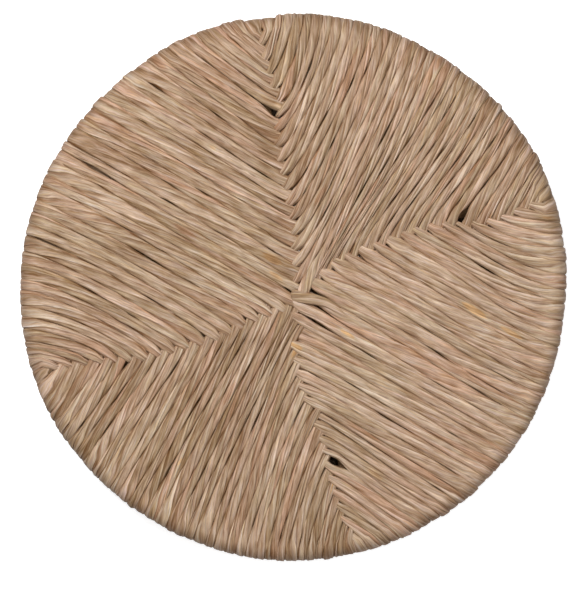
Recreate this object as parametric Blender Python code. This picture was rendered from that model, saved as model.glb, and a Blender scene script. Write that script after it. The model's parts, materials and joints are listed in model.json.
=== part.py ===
"""Round rush-woven chair seat: a drop-in seat pad, rest pose, metres, +Z up.

A wooden hoop made of four arcs joined by loose dowels carries a four-corner rush
weave.  Each cord runs out from a seam on the underside, round the hoop's edge and back
to the same seam on the top.  The seams run from the rim to the weave centre and divide
the seat into four sectors.  Between the top and bottom layers lie the crossing runs of
the cord and the dry stuffing.
"""
import math

import bpy
import bmesh
from mathutils import Vector

MM = 0.001

# Whole seat
SEAT_R = 180.0 * MM      # outer radius over the cords
SEAT_T = 30.0 * MM       # thickness at the rim, over the cords
CORD_T = 5.7 * MM        # one layer of cord, pulled flat
GAP = 0.3 * MM           # clearance between pieces that touch
ROLL_R = 9.0 * MM        # outer radius of a cord turning over the hoop's edge
CROWN = 3.6 * MM         # rise of the top over the stuffing
CENTRE_LIFT = 1.2 * MM   # the top at the weave centre, above the rim
RECESS = 1.5 * MM        # rise of the underside at the middle, so it rests on its rim

# Wooden hoop
HOOP_R = SEAT_R - CORD_T - GAP
HOOP_W = 34.0 * MM
HOOP_T = SEAT_T - 2 * (CORD_T + GAP)
HOOP_EDGE = ROLL_R - CORD_T - GAP
HOOP_JOINT_DEG = 57.0    # first butt joint, the others follow every quarter turn
HOOP_STEPS = 15          # facets along one arc
DOWEL_R = 4.0 * MM
DOWEL_L = 40.0 * MM
DOWEL_OFF = 7.5 * MM     # each dowel's distance from the hoop's centre line

# Weave
CORDS = 36               # cords that cross the rim in one sector
HALF = CORDS // 2        # cords that end at each of the sector's two seams
BAND = 6                 # cords modelled together as one band
FLAT_R = SEAT_R - ROLL_R # where the flat top starts
WEAVE_CENTRE = (3.9 * MM, -6.9 * MM)

# Each seam: its angle at the rim, and the points it bends through on its way to the
# weave centre, in millimetres from the middle of the seat.
SEAMS = {
    "east": (18.5, [(139.0, 45.5), (98.0, 38.5), (63.0, 29.5), (34.0, 17.5)]),
    "north": (96.8, [(-18.5, 150.0), (-9.0, 112.0), (-5.0, 78.0), (2.0, 44.0)]),
    "west": (197.7, [(-134.0, -47.0), (-93.0, -42.0), (-54.0, -31.0), (-27.0, -19.0)]),
    "south": (283.0, [(29.0, -134.0), (20.0, -97.0), (8.0, -66.0), (3.0, -38.0)]),
}
# Each sector: the seam at its clockwise side, the seam at its other side, and the
# outward direction of its cords in degrees.
SECTORS = {
    "northeast": ("east", "north", 58.0),
    "northwest": ("north", "west", 147.0),
    "southwest": ("west", "south", 239.0),
    "southeast": ("south", "east", 330.0),
}


def clear_scene():
    for obj in list(bpy.data.objects):
        bpy.data.objects.remove(obj, do_unlink=True)


def material(name, rgb, roughness, metallic=0.0):
    mat = bpy.data.materials.new(name)
    mat.use_nodes = True
    bsdf = mat.node_tree.nodes["Principled BSDF"]
    bsdf.inputs["Base Color"].default_value = (*rgb, 1.0)
    bsdf.inputs["Roughness"].default_value = roughness
    bsdf.inputs["Metallic"].default_value = metallic
    mat.diffuse_color = (*rgb, 1.0)
    return mat


def add_object(name, bm, mat, smooth_deg=None):
    bmesh.ops.recalc_face_normals(bm, faces=bm.faces)
    mesh = bpy.data.meshes.new(name)
    bm.to_mesh(mesh)
    bm.free()
    mesh.materials.append(mat)
    if smooth_deg is not None:
        mesh.shade_smooth()
        mesh.set_sharp_from_angle(angle=math.radians(smooth_deg))
    obj = bpy.data.objects.new(name, mesh)
    bpy.context.scene.collection.objects.link(obj)
    return obj


def polar(radius, degrees):
    a = math.radians(degrees)
    return (radius * math.cos(a), radius * math.sin(a))


def catmull(points, steps=12):
    """A smooth curve through points, as a dense polyline."""
    pts = [points[0], *points, points[-1]]
    out = []
    for k in range(1, len(pts) - 2):
        p0, p1, p2, p3 = pts[k - 1 : k + 3]
        for s in range(steps):
            t = s / steps
            out.append(tuple(
                0.5 * (2 * b + (c - a) * t + (2 * a - 5 * b + 4 * c - d) * t * t
                       + (3 * b - a - 3 * c + d) * t ** 3)
                for a, b, c, d in zip(p0, p1, p2, p3)))
    out.append(tuple(points[-1]))
    return out


def along(curve, share):
    """The point that lies this share of the way along a polyline."""
    runs = [math.dist(a, b) for a, b in zip(curve, curve[1:])]
    left = share * sum(runs)
    for (a, b), run in zip(zip(curve, curve[1:]), runs):
        if left <= run:
            f = left / run if run else 0.0
            return tuple(p + (q - p) * f for p, q in zip(a, b))
        left -= run
    return curve[-1]


def seam_curves():
    curves = {}
    for name, (deg, bends) in SEAMS.items():
        points = [polar(FLAT_R, deg)]
        points += [(x * MM, y * MM) for x, y in bends]
        points.append(WEAVE_CENTRE)
        curves[name] = catmull(points)
    return curves


CURVES = seam_curves()


def sector_angles(sector):
    low, high, _ = SECTORS[sector]
    a, b = SEAMS[low][0], SEAMS[high][0]
    return a, b + (360.0 if b < a else 0.0)


def seam_end(sector, c, back):
    """Where cord c ends at its seam, kept this far back from it along the cord."""
    low, high, lean = SECTORS[sector]
    seam, share = (low, c / HALF) if c <= HALF else (high, (CORDS - c) / HALF)
    x, y = along(CURVES[seam], share)
    dx, dy = polar(back, lean)
    return x + dx, y + dy


def cord_plan(sector, c, t, back=1.2 * MM):
    """Plan position of cord c, from the rim (t = 0) to its seam (t = 1)."""
    a, b = sector_angles(sector)
    theta = a + (b - a) * c / CORDS
    start = Vector(polar(FLAT_R, theta))
    end = Vector(seam_end(sector, c, back))
    lean = SECTORS[sector][2]
    lean += 360.0 * round((theta - lean) / 360.0)
    share = 0.5 - 0.3 * c / CORDS
    out0 = Vector(polar(1.0, theta + (lean - theta) * share))
    out1 = Vector(polar(1.0, lean))
    run = (start - end).length
    p1, p2 = start - out0 * run * 0.35, end + out1 * run * 0.45
    s = 1.0 - t
    return s ** 3 * start + 3 * s * s * t * p1 + 3 * s * t * t * p2 + t ** 3 * end


def run_length(sector, c):
    return (cord_plan(sector, c, 0.0) - cord_plan(sector, c, 1.0)).length


def top_height(sector, c, t):
    """Height of the top surface of cord c above the plane of the rim's top."""
    size = min(1.0, run_length(sector, c) / (120.0 * MM))
    return size * (CROWN * math.sin(math.pi * t) ** 1.0 * (1.0 - 0.35 * t)
                   + CENTRE_LIFT * t)


def under_height(sector, c, t):
    """Rise of the underside, clear of the hoop and only inside it."""
    inside = HOOP_R - HOOP_W - 17.0 * MM - cord_plan(sector, c, t).length
    return RECESS * min(1.0, max(0.0, inside / (70.0 * MM)))


def band_section(sector, c, depth):
    """The path of cord c from its top seam, round the edge, to its bottom seam, this
    deep below the cord's outer surface."""
    path = []
    steps = (1.0, 0.75, 0.5, 0.25, 0.0)
    for t in steps:
        x, y = cord_plan(sector, c, t)
        path.append((x, y, SEAT_T - depth + top_height(sector, c, t)))
    a, b = sector_angles(sector)
    theta = a + (b - a) * c / CORDS
    roll = ROLL_R - depth
    for k in (1, 2, 3):
        f = math.radians(30.0 * k)
        x, y = polar(FLAT_R + roll * math.sin(f), theta)
        path.append((x, y, SEAT_T - ROLL_R + roll * math.cos(f)))
    for k in (3, 2, 1):
        f = math.radians(30.0 * k)
        x, y = polar(FLAT_R + roll * math.sin(f), theta)
        path.append((x, y, ROLL_R - roll * math.cos(f)))
    for t in reversed(steps):
        x, y = cord_plan(sector, c, t)
        path.append((x, y, depth + under_height(sector, c, t)))
    return path


def band(name, sector, first, mat):
    """Six cords side by side as one C-shaped strip round the hoop."""
    pitch = 0.05
    low, high = first + pitch, first + BAND - pitch
    if first == 0:
        low = 0.15
    if first + BAND == CORDS:
        high = CORDS - 0.15
    columns = [low + (high - low) * k / 3 for k in range(4)]
    bm = bmesh.new()
    outer = [[bm.verts.new(p) for p in band_section(sector, c, 0.0)] for c in columns]
    inner = [[bm.verts.new(p) for p in band_section(sector, c, CORD_T)] for c in columns]
    rows = len(outer[0])
    for grid in (outer, inner):
        for k in range(3):
            for r in range(rows - 1):
                bm.faces.new((grid[k][r], grid[k + 1][r], grid[k + 1][r + 1], grid[k][r + 1]))
    for k in (0, 3):
        for r in range(rows - 1):
            bm.faces.new((outer[k][r], outer[k][r + 1], inner[k][r + 1], inner[k][r]))
    for r in (0, rows - 1):
        for k in range(3):
            bm.faces.new((outer[k][r], outer[k + 1][r], inner[k + 1][r], inner[k][r]))
    return add_object(name, bm, mat, 40)


def hoop_profile():
    """Rounded rectangle, as (radius, height) pairs."""
    r0, r1 = HOOP_R - HOOP_W, HOOP_R
    z0, z1 = SEAT_T / 2 - HOOP_T / 2, SEAT_T / 2 + HOOP_T / 2
    points = []
    for cx, cz, start in ((r1 - HOOP_EDGE, z1 - HOOP_EDGE, 0), (r0 + HOOP_EDGE, z1 - HOOP_EDGE, 90),
                          (r0 + HOOP_EDGE, z0 + HOOP_EDGE, 180), (r1 - HOOP_EDGE, z0 + HOOP_EDGE, 270)):
        for k in range(3):
            f = math.radians(start + 45 * k)
            points.append((cx + HOOP_EDGE * math.cos(f), cz + HOOP_EDGE * math.sin(f)))
    return points


def hoop_arc(name, first_deg, mat):
    half_gap = math.degrees(0.5 * GAP / (HOOP_R - HOOP_W))
    a, b = first_deg + half_gap, first_deg + 90.0 - half_gap
    profile = hoop_profile()
    bm = bmesh.new()
    rings = []
    for k in range(HOOP_STEPS + 1):
        t = math.radians(a + (b - a) * k / HOOP_STEPS)
        rings.append([bm.verts.new((r * math.cos(t), r * math.sin(t), z)) for r, z in profile])
    n = len(profile)
    for k in range(HOOP_STEPS):
        for j in range(n):
            bm.faces.new((rings[k][j], rings[k + 1][j], rings[k + 1][(j + 1) % n], rings[k][(j + 1) % n]))
    bm.faces.new(rings[0])
    bm.faces.new(rings[-1])
    return add_object(name, bm, mat, 40)


def rod(name, radius, length, centre, direction, mat, sides=16, taper=0.0):
    """A dowel with chamfered ends."""
    bm = bmesh.new()
    turn = Vector((0, 0, 1)).rotation_difference(Vector(direction)).to_matrix()
    ends = [(-length / 2, radius - taper), (-length / 2 + taper, radius),
            (length / 2 - taper, radius), (length / 2, radius - taper)]
    if taper == 0.0:
        ends = [ends[0], ends[-1]]
    rings = []
    for z, r in ends:
        rings.append([bm.verts.new(Vector(centre) + turn @ Vector(
            (r * math.cos(math.tau * k / sides), r * math.sin(math.tau * k / sides), z)))
            for k in range(sides)])
    for low, high in zip(rings, rings[1:]):
        for k in range(sides):
            bm.faces.new((low[k], low[(k + 1) % sides], high[(k + 1) % sides], high[k]))
    bm.faces.new(rings[0])
    bm.faces.new(rings[-1])
    return add_object(name, bm, mat, 40)


def cut(obj, cutter):
    cutter.hide_render = True
    cutter.display_type = "WIRE"
    mod = obj.modifiers.new("Hole", "BOOLEAN")
    mod.operation = "DIFFERENCE"
    mod.object = cutter
    mod.solver = "EXACT"


def sector_outline(sector, back, reach, tip, steps=9):
    """Plan outline of a sector inside the hoop: back from its seams, out to radius
    reach, and cut off this far from the weave centre."""
    low, high, _ = SECTORS[sector]
    cx, cy = WEAVE_CENTRE
    sides = []
    for seam, side in ((low, 1.0), (high, -1.0)):
        curve = CURVES[seam]
        total = sum(math.dist(p, q) for p, q in zip(curve, curve[1:]))
        points = []
        for k in range(201):
            share = k / 200
            x, y = along(curve, share)
            x0, y0 = along(curve, max(0.0, share - 0.02))
            x1, y1 = along(curve, min(1.0, share + 0.02))
            run = math.hypot(x1 - x0, y1 - y0)
            px = x + side * (y1 - y0) / run * back
            py = y - side * (x1 - x0) / run * back
            if math.hypot(px, py) <= reach and math.hypot(px - cx, py - cy) >= tip:
                points.append((px, py))
        pick = [points[round(j * (len(points) - 1) / 5)] for j in range(6)]
        sides.append(pick)
    first, second = sides
    a = math.degrees(math.atan2(first[0][1], first[0][0]))
    b = math.degrees(math.atan2(second[0][1], second[0][0]))
    while b < a:
        b += 360.0
    rim = [polar(reach, a + (b - a) * k / steps) for k in range(1, steps)]
    return list(reversed(first)) + rim + second


def slab(name, sector, z0, z1, crown, back, reach, tip, mat):
    """A flat-bottomed piece over a sector's outline, its top raised in the middle."""
    outline = sector_outline(sector, back, reach, tip)
    mx = sum(p[0] for p in outline) / len(outline)
    my = sum(p[1] for p in outline) / len(outline)
    bm = bmesh.new()

    def ring(share, z):
        return [bm.verts.new((mx + (x - mx) * share, my + (y - my) * share, z)) for x, y in outline]

    layers = [ring(1.0, z0), ring(1.0, z1), ring(0.6, z1 + crown)] if crown else [ring(1.0, z0), ring(1.0, z1)]
    n = len(outline)
    for low, high in zip(layers, layers[1:]):
        for k in range(n):
            bm.faces.new((low[k], low[(k + 1) % n], high[(k + 1) % n], high[k]))
    for cap in (layers[0], layers[-1]):
        z = cap[0].co.z
        hub = bm.verts.new((mx, my, z))
        for k in range(n):
            bm.faces.new((cap[k], cap[(k + 1) % n], hub))
    return add_object(name, bm, mat)


def tube(name, points, radii, mat, sides=8, closed=False, flat=1.0):
    """A tube through points, with a radius at each; flat squeezes it in height."""
    bm = bmesh.new()
    rings = []
    n = len(points)
    for k, p in enumerate(points):
        before = points[(k - 1) % n] if closed else points[max(0, k - 1)]
        after = points[(k + 1) % n] if closed else points[min(n - 1, k + 1)]
        way = (Vector(after) - Vector(before)).normalized()
        side = Vector((0, 0, 1)).cross(way)
        side = side.normalized() if side.length > 1e-6 else Vector((1, 0, 0))
        up = way.cross(side).normalized()
        rings.append([bm.verts.new(Vector(p) + side * radii[k] * math.cos(math.tau * j / sides)
                                   + up * radii[k] * flat * math.sin(math.tau * j / sides))
                      for j in range(sides)])
    spans = list(zip(rings, rings[1:]))
    if closed:
        spans.append((rings[-1], rings[0]))
    for low, high in spans:
        for j in range(sides):
            bm.faces.new((low[j], low[(j + 1) % sides], high[(j + 1) % sides], high[j]))
    if not closed:
        bm.faces.new(rings[0])
        bm.faces.new(rings[-1])
    return add_object(name, bm, mat, 60)


def build():
    clear_scene()
    rush = {
        "northeast": material("rush_northeast", (0.40, 0.26, 0.17), 0.72),
        "northwest": material("rush_northwest", (0.44, 0.30, 0.20), 0.72),
        "southwest": material("rush_southwest", (0.38, 0.26, 0.17), 0.72),
        "southeast": material("rush_southeast", (0.45, 0.30, 0.20), 0.72),
    }
    inner_rush = material("inner_rush", (0.42, 0.31, 0.18), 0.8)
    stuffing = material("dry_stuffing", (0.36, 0.27, 0.16), 0.9)
    beech = material("beech", (0.62, 0.44, 0.27), 0.55)
    dowel_wood = material("dowel_wood", (0.68, 0.52, 0.34), 0.6)
    steel = material("tack_steel", (0.45, 0.44, 0.42), 0.35, 1.0)

    mid_z = SEAT_T / 2
    mid_r = HOOP_R - HOOP_W / 2

    arcs = [hoop_arc(f"hoop_arc_{k + 1}", HOOP_JOINT_DEG + 90.0 * k, beech) for k in range(4)]

    # Two loose dowels across each butt joint, in clearance holes.
    for k in range(4):
        deg = HOOP_JOINT_DEG + 90.0 * k
        t = math.radians(deg)
        way = (-math.sin(t), math.cos(t), 0.0)
        for label, off in (("inner", -DOWEL_OFF), ("outer", DOWEL_OFF)):
            x, y = polar(mid_r + off, deg)
            rod(f"joint_dowel_{k + 1}_{label}", DOWEL_R, DOWEL_L, (x, y, mid_z), way,
                dowel_wood, taper=0.6 * MM)
            hole = rod(f"hole_{k + 1}_{label}", DOWEL_R + GAP, DOWEL_L + 4 * GAP,
                       (x, y, mid_z), way, dowel_wood)
            cut(arcs[k], hole)
            cut(arcs[k - 1], hole)

    # The tack that holds the first strand to the hoop's inner face.
    tack_deg = 190.0
    out = (math.cos(math.radians(tack_deg)), math.sin(math.radians(tack_deg)), 0.0)
    face = HOOP_R - HOOP_W
    shank = 11.0 * MM
    x, y = polar(face - 0.9 * MM + shank / 2, tack_deg)
    body = rod("strand_tack", 1.0 * MM, shank, (x, y, mid_z), out, steel, sides=10)
    x, y = polar(face - 1.2 * MM, tack_deg)
    head = rod("strand_tack_head", 4.0 * MM, 1.2 * MM, (x, y, mid_z), out, steel, sides=14)
    head.hide_render = True
    head.display_type = "WIRE"
    join = body.modifiers.new("Head", "BOOLEAN")
    join.operation = "UNION"
    join.object = head
    join.solver = "EXACT"
    x, y = polar(face - 1.0 * MM + (shank + 2 * MM) / 2, tack_deg)
    pilot = rod("tack_hole", 1.0 * MM + GAP, shank + 2 * MM, (x, y, mid_z), out, steel, sides=10)
    cut(arcs[1], pilot)

    # The woven cords, in bands of six.
    for sector in SECTORS:
        for k in range(CORDS // BAND):
            band(f"rush_band_{sector}_{k + 1}", sector, k * BAND, rush[sector])

    # Between the layers: stuffing, the crossing runs of the cord, stuffing.
    for sector in SECTORS:
        slab(f"lower_stuffing_{sector}", sector, 7.7 * MM, 11.4 * MM, 0.0,
             3.0 * MM, 137.0 * MM, 26.0 * MM, stuffing)
        slab(f"crossing_cords_{sector}", sector, 11.8 * MM, 17.4 * MM, 0.0,
             2.0 * MM, 137.0 * MM, 22.0 * MM, inner_rush)
        slab(f"upper_stuffing_{sector}", sector, 17.8 * MM, 23.4 * MM, 2.4 * MM,
             4.0 * MM, 136.0 * MM, 28.0 * MM, stuffing)

    # The last strand: its end loops over the weave centre, and its tail is knotted
    # between the layers.
    cx, cy = WEAVE_CENTRE
    lean = math.radians(SECTORS["southeast"][2])
    loop = []
    radii = []
    for k in range(9):
        u = k / 8
        reach = (-6.0 + 24.0 * u) * MM
        lift = SEAT_T + CENTRE_LIFT + (2.6 - 0.4 * u) * MM
        loop.append((cx + reach * math.cos(lean), cy + reach * math.sin(lean), lift))
        radii.append(3.2 * MM * math.sqrt(max(0.12, 1.0 - (2 * u - 1) ** 4)))
    tube("finishing_loop", loop, radii, rush["southeast"], sides=10, flat=0.62)

    knot = []
    for k in range(36):
        t = math.tau * k / 36
        knot.append((cx + 3.1 * MM * (math.sin(t) + 2 * math.sin(2 * t)),
                     cy + 3.1 * MM * (math.cos(t) - 2 * math.cos(2 * t)),
                     mid_z + 0.6 * MM + 3.1 * MM * math.sin(3 * t)))
    tube("tie_off_knot", knot, [2.1 * MM] * 36, inner_rush, sides=6, closed=True)


build()
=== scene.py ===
"""Round rush-woven seat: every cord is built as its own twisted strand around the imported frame."""
import json
import math

import bpy
import numpy as np
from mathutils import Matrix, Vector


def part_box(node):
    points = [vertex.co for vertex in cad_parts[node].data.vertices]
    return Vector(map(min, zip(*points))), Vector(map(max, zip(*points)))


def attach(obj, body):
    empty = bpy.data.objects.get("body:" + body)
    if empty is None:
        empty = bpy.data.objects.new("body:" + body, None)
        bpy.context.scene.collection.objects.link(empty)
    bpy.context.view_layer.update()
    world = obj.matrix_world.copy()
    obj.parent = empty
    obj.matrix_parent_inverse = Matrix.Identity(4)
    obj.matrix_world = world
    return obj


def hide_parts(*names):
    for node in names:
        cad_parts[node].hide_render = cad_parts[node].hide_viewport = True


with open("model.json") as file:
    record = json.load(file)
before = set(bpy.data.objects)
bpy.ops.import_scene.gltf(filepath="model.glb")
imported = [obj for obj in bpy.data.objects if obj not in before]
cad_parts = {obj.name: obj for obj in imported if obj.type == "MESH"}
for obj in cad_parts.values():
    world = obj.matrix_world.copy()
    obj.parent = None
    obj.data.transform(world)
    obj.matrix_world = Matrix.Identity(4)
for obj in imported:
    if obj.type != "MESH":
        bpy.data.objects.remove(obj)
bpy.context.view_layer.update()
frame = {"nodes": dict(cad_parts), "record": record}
RECORD = frame["record"]
MM = 0.001

# ------------------------------------------------------------------ the weave's geometry
SEAT_R = 180.0 * MM
SEAT_T = 30.0 * MM
CORD_T = 5.7 * MM
ROLL_R = 9.0 * MM
CROWN = 3.6 * MM
CENTRE_LIFT = 1.2 * MM
RECESS = 1.5 * MM
FLAT_R = SEAT_R - ROLL_R
CORDS = 36
HALF = 18
BAND = 6
WEAVE_CENTRE = np.array([3.9 * MM, -6.9 * MM])

SEAMS = {
    "east": (18.5, [(139.0, 44.5), (121.0, 38.5), (108.0, 39.5), (86.0, 36.0), (56.0, 25.5), (30.0, 14.0)]),
    "north": (96.8, [(-18.5, 157.0), (-12.5, 139.0), (-5.5, 121.0), (-8.5, 107.5), (-7.5, 93.0), (-3.5, 73.0), (0.5, 54.0), (3.2, 36.0)]),
    "west": (197.7, [(-134.0, -47.0), (-93.0, -42.0), (-54.0, -31.0), (-27.0, -19.0)]),
    "south": (283.0, [(29.0, -134.0), (20.0, -97.0), (8.0, -66.0), (3.0, -38.0)]),
}
SECTORS = {
    "northeast": ("east", "north", 58.0),
    "northwest": ("north", "west", 147.0),
    "southwest": ("west", "south", 239.0),
    "southeast": ("south", "east", 330.0),
}
# How each sector's cord is made up: leaves in a cord, length of one turn, tone, depth of a leaf's edge, spread of
# tones, strength of the painted shade on the cords' sides and in the leaves' creases, hue, and how far a cord turns
# square to its seam in its last stretch
MAKE = {
    "northeast": dict(blades=(5, 7), turn=(86, 142), tone=-0.005, step=0.12, spread=0.78, side_shade=0.93, hue=0.42, bend=0.25),
    "northwest": dict(blades=(4, 6), turn=(140, 225), tone=-0.02, step=0.095, spread=0.58, side_shade=0.94, hue=0.44, bend=0.22),
    "southwest": dict(blades=(5, 7), turn=(90, 150), tone=-0.025, step=0.13, spread=0.8, side_shade=0.97, hue=0.52, bend=0.12),
    "southeast": dict(blades=(4, 6), turn=(140, 225), tone=0.06, step=0.072, spread=0.35, side_shade=0.80, hue=0.42, bend=0.08),
}
H = 2.85 * MM  # half the thickness of a cord

# The way the cords point, outwards, where they reach the rim, by the angle round the rim
RIM_LEAN = {
    "northeast": [(18.5, 52), (30, 61), (50, 60), (60, 62), (70, 70), (80, 77), (88, 83), (96.8, 86)],
    "northwest": [(96.8, 122), (110, 136), (130, 147), (150, 151), (165, 157), (180, 168), (190, 176), (197.7, 184)],
    "southwest": [(197.7, 212), (206, 231), (225, 237), (235, 240), (245, 246), (255, 252), (268, 257), (283, 263)],
    "southeast": [(283, 318), (292, 325), (310, 328), (333, 331), (347, 338), (360, 350), (367, 358), (378.5, 364)],
}
# How far the cords are shifted round the rim, in degrees, by their place in the sector
RIM_SHIFT = {
    "northeast": [(0, 0), (0.1, 1.2), (0.2, 1.9), (0.35, 1.2), (0.5, 0.4), (0.75, 0.2), (1, 0)],
    "northwest": [(0, 0), (0.1, -0.9), (0.2, 0.2), (0.3, 1.4), (0.5, 2.5), (0.7, 2.9), (0.8, 3.3), (0.88, 3.2), (0.94, 2.0), (1, 0)],
    "southwest": [(0, 0), (0.1, 1.3), (0.2, 2.3), (0.35, 3.3), (0.5, 3.6), (0.65, 3.3), (0.8, 2.3), (0.9, 1.3), (1, 0)],
    "southeast": [(0, 0), (0.1, -1.3), (0.2, -2.4), (0.35, -3.3), (0.5, -3.4), (0.65, -2.7), (0.75, -1.3), (0.82, 0.3), (0.88, 1.3), (0.94, 1.0), (1, 0)],
}
BEND_REACH = 10.0 * MM
OVER = {"north": "northeast", "east": "southeast", "south": "southeast", "west": "northwest"}


def polar(radius, degrees):
    a = np.radians(degrees)
    return np.stack([radius * np.cos(a), radius * np.sin(a)], -1)


def catmull(points, steps=24):
    pts = np.array([points[0], *points, points[-1]], float)
    out = []
    for k in range(1, len(pts) - 2):
        a, b, c, d = pts[k - 1 : k + 3]
        t = (np.arange(steps) / steps)[:, None]
        out.append(0.5 * (2 * b + (c - a) * t + (2 * a - 5 * b + 4 * c - d) * t ** 2
                          + (3 * b - a - 3 * c + d) * t ** 3))
    out.append(pts[-1][None])
    return np.concatenate(out)


def along(curve, share):
    run = np.concatenate([[0], np.cumsum(np.linalg.norm(np.diff(curve, axis=0), axis=1))])
    s = share * run[-1]
    return np.array([np.interp(s, run, curve[:, 0]), np.interp(s, run, curve[:, 1])])


CURVES = {}
for _name, (_deg, _bends) in SEAMS.items():
    CURVES[_name] = catmull([tuple(polar(FLAT_R, _deg))] + [(x * MM, y * MM) for x, y in _bends]
                            + [tuple(WEAVE_CENTRE)])

rng = np.random.default_rng(20261)


def jittered(n, amount):
    """0 to n, evenly spaced but for a little wandering."""
    x = np.arange(n + 1, dtype=float)
    x[1:-1] += rng.uniform(-amount, amount, n - 1)
    return x


SEAM_AT = {name: jittered(HALF, 0.13) / HALF for name in SEAMS}


def sector_angles(sector):
    low, high, _ = SECTORS[sector]
    a, b = SEAMS[low][0], SEAMS[high][0]
    return a, b + (360.0 if b < a else 0.0)


def rim_swell(deg):
    """The wound edge isn't a true circle: how far out it stands, as a share."""
    total = 0.0
    for at, wide, mm in ((28, 18, 2.2), (203, 16, 1.4), (135, 20, -2.6), (350, 14, -1.2), (75, 20, 0.5), (265, 20, 0.4), (97.2, 2.5, -3.4), (103, 6, -0.4)):
        d = (deg - at + 180.0) % 360.0 - 180.0
        total = total + mm * np.exp(-(d / wide) ** 2)
    return total * MM / SEAT_R


def swell(xy):
    r = np.linalg.norm(xy, axis=-1)
    deg = np.degrees(np.arctan2(xy[..., 1], xy[..., 0]))
    return xy * (1.0 + rim_swell(deg) * (r / SEAT_R) ** 4)[..., None]


def smooth(x):
    x = np.clip(x, 0.0, 1.0)
    return x * x * (3 - 2 * x)


def heading(v):
    return math.degrees(math.atan2(v[1], v[0]))


def toward(a, b, share):
    """From direction a part of the way to direction b, in degrees."""
    return a + ((b - a + 180.0) % 360.0 - 180.0) * share


class Edge:
    """The line between two neighbouring cords."""

    def __init__(self, sector, e, theta):
        low, high, lean = SECTORS[sector]
        seam, at, turn = (low, SEAM_AT[low][e], 1.0) if e <= HALF else (high, SEAM_AT[high][CORDS - e], -1.0)
        curve = CURVES[seam]
        self.end = along(curve, at)
        seam_way = along(curve, min(1.0, at + 0.03)) - along(curve, max(0.0, at - 0.03))
        into = turn * np.array([seam_way[1], -seam_way[0]])
        self.theta = theta
        self.start = polar(FLAT_R, theta)
        chord = self.start - self.end
        self.run = float(np.linalg.norm(chord))
        chord = heading(chord) if self.run > 1e-6 else theta
        ends, ways = zip(*RIM_LEAN[sector])
        near = 1.0 - float(smooth(self.run / (70 * MM)))
        out = toward(float(np.interp(theta, ends, ways)), chord, 0.15 + 0.85 * near)
        inner = toward(toward(lean, chord, 0.4), chord, near)
        bend = MAKE[sector]["bend"] * min(1.0, self.run / (60 * MM)) * (1.0 - float(smooth((at - 0.8) / 0.2)))
        local = toward(inner, heading(into), bend)
        edge = min(1.0, e / 1.5, (CORDS - e) / 1.5)
        slant = toward(0.0, out - theta, 1.0)
        self.roll_slant = float(np.clip(math.tan(math.radians(slant)), -1.1, 1.1)) * edge
        self.out0, self.out1, self.local = polar(1.0, out), polar(1.0, inner), polar(1.0, local)
        self.drift = (self.local - self.out1) * BEND_REACH

    def plan(self, t):
        t = np.asarray(t, float)[:, None]
        end = self.end + self.drift
        p1 = self.start - self.out0 * self.run * 0.33
        p2 = end + self.out1 * self.run * 0.33
        u = np.minimum(t, 1.0)
        s = 1.0 - u
        p = s ** 3 * self.start + 3 * s * s * u * p1 + 3 * s * u * u * p2 + u ** 3 * end
        p = p - self.drift * np.exp(-self.run * s / BEND_REACH) * (1 - s ** 2)
        return p - np.maximum(t - 1.0, 0.0) * self.run * self.local


def path_3d(edge, tt, wrap, tb, run):
    """An edge's line at mid-cord depth: top (t from the seam to the rim), round the rim (share of
    the way), underside."""
    size = min(1.0, run / (120 * MM))
    top = swell(edge.plan(tt))
    tc = np.minimum(tt, 1.0)
    z = SEAT_T - H + size * (CROWN * np.sin(np.pi * tc) * (1 - 0.35 * tc) + CENTRE_LIFT * tc)
    roll = ROLL_R - H
    quarter = roll * np.pi / 2
    side = SEAT_T - 2 * ROLL_R
    total = 2 * quarter + side
    s = wrap * total
    f = np.where(s < quarter, s / roll, np.where(s > total - quarter, (total - s) / roll, np.pi / 2))
    r = FLAT_R + roll * np.sin(f)
    zw = np.where(s < quarter, SEAT_T - ROLL_R + roll * np.cos(f),
                  np.where(s > total - quarter, ROLL_R - roll * np.cos(f),
                           SEAT_T - ROLL_R - (s - quarter)))
    near = np.minimum(s, total - s)
    reach = 5.0 * MM
    carry = 0.7 * roll * np.sin(f) + 0.3 * reach * (1 - np.exp(-near / reach))  # the cord keeps its slant over the edge
    shift = np.degrees(edge.roll_slant * carry / FLAT_R)
    wrap_xy = swell(polar(r, edge.theta + shift))
    bot = edge.plan(tb)
    radius = np.linalg.norm(bot, axis=1)
    zb = H + RECESS * np.clip((SEAT_R - 62 * MM - radius) / (70 * MM), 0, 1)
    bot = swell(bot)
    return np.concatenate([np.column_stack([top, z]), np.column_stack([wrap_xy, zw]),
                           np.column_stack([bot, zb])])


def unit(v):
    return v / np.maximum(np.linalg.norm(v, axis=-1, keepdims=True), 1e-12)


def wander(r, s, step, amp, mean=0.0):
    """Smooth random change along s."""
    n = int(max(s[-1] - s[0], step) / step) + 3
    x = s[0] + (np.arange(n) - r.uniform(0, 1)) * step
    y = r.normal(0, 1, n)
    k = np.clip(np.searchsorted(x, s) - 1, 0, n - 2)
    f = np.clip((s - x[k]) / step, 0, 1)
    f = f * f * (3 - 2 * f)
    return mean + amp * (y[k] * (1 - f) + y[k + 1] * f)


def spow(v, p):
    return np.sign(v) * np.abs(v) ** p


def even_section(power, aspect=1.12):
    """The angle at each share of the way round a cord's section, so that a leaf's edge winds evenly."""
    a = np.linspace(0, 2 * np.pi, 2001)
    x, z = aspect * spow(np.sin(a), power), spow(np.cos(a), power)
    run = np.concatenate([[0], np.cumsum(np.hypot(np.diff(x), np.diff(z)))])
    return run / run[-1] * 2 * np.pi, a


SECTION = even_section(0.74)


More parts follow.
